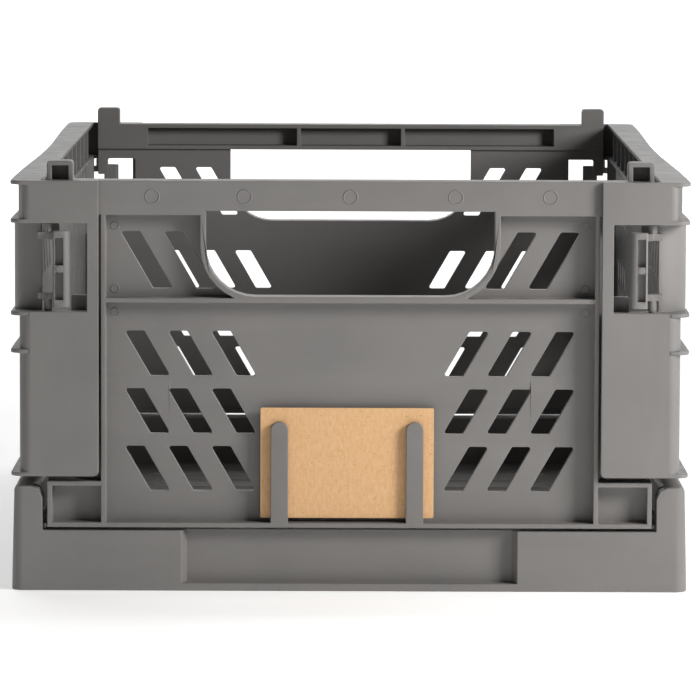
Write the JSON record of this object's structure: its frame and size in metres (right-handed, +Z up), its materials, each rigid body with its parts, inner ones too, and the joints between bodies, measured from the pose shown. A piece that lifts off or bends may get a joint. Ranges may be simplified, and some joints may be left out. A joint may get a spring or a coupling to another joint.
{
  "type": "collapsible storage crate",
  "caption": "Small open-topped folding crate with slotted walls, hand holes in the ends, sprung corner latches, stacking tabs and a label card.",
  "frame": {"origin": "middle of the tray's underside, on the surface that the crate stands on", "axes": "+X to the right seen from the end with the label card, +Y along the length away from that end, +Z up"},
  "size_m": [0.171, 0.266, 0.1088],
  "materials": {
    "grey_plastic": "warm mid-grey moulded polypropylene, satin",
    "kraft_board": "uncoated brown kraft board"
  },
  "bodies": {
    "tray": {"base_tray": "grey_plastic"},
    "front_end_wall": {"front_end_wall": "grey_plastic"},
    "rear_end_wall": {"rear_end_wall": "grey_plastic"},
    "left_side_wall": {"left_side_wall": "grey_plastic"},
    "right_side_wall": {"right_side_wall": "grey_plastic"},
    "front_left_latch": {"front_left_latch": "grey_plastic"},
    "front_right_latch": {"front_right_latch": "grey_plastic"},
    "rear_left_latch": {"rear_left_latch": "grey_plastic"},
    "rear_right_latch": {"rear_right_latch": "grey_plastic"},
    "label_card": {"label_card": "kraft_board"}
  },
  "joints": [
    {"name": "front_end_fold", "type": "hinge", "parent": "tray", "child": "front_end_wall", "pos_m": [0, -0.125, 0.0184], "axis": [-1, 0, 0], "range_deg": [0, 90]},
    {"name": "rear_end_fold", "type": "hinge", "parent": "tray", "child": "rear_end_wall", "pos_m": [0, 0.125, 0.0184], "axis": [1, 0, 0], "range_deg": [0, 90]},
    {"name": "right_side_splay", "type": "hinge", "parent": "tray", "child": "right_side_wall", "pos_m": [0.0815, 0, 0.033], "axis": [0, -1, 0], "range_deg": [-3, 0]},
    {"name": "left_side_splay", "type": "hinge", "parent": "tray", "child": "left_side_wall", "pos_m": [-0.0815, 0, 0.033], "axis": [0, 1, 0], "range_deg": [-3, 0]},
    {"name": "front_right_latch_press", "type": "hinge", "parent": "right_side_wall", "child": "front_right_latch", "pos_m": [0.07615, -0.1296, 0.0817], "axis": [0, 0, -1], "range_deg": [0, 14], "stiffness_Nm_per_rad": 0.01},
    {"name": "rear_right_latch_press", "type": "hinge", "parent": "right_side_wall", "child": "rear_right_latch", "pos_m": [0.07615, 0.1296, 0.0817], "axis": [0, 0, 1], "range_deg": [0, 14], "stiffness_Nm_per_rad": 0.01},
    {"name": "front_left_latch_press", "type": "hinge", "parent": "left_side_wall", "child": "front_left_latch", "pos_m": [-0.07615, -0.1296, 0.0817], "axis": [0, 0, 1], "range_deg": [0, 14], "stiffness_Nm_per_rad": 0.01},
    {"name": "rear_left_latch_press", "type": "hinge", "parent": "left_side_wall", "child": "rear_left_latch", "pos_m": [-0.07615, 0.1296, 0.0817], "axis": [0, 0, -1], "range_deg": [0, 14], "stiffness_Nm_per_rad": 0.01},
    {"name": "label_card_slide", "type": "slide", "parent": "front_end_wall", "child": "label_card", "axis": [0, 0, 1], "range_m": [0, 0.026]}
  ]
}
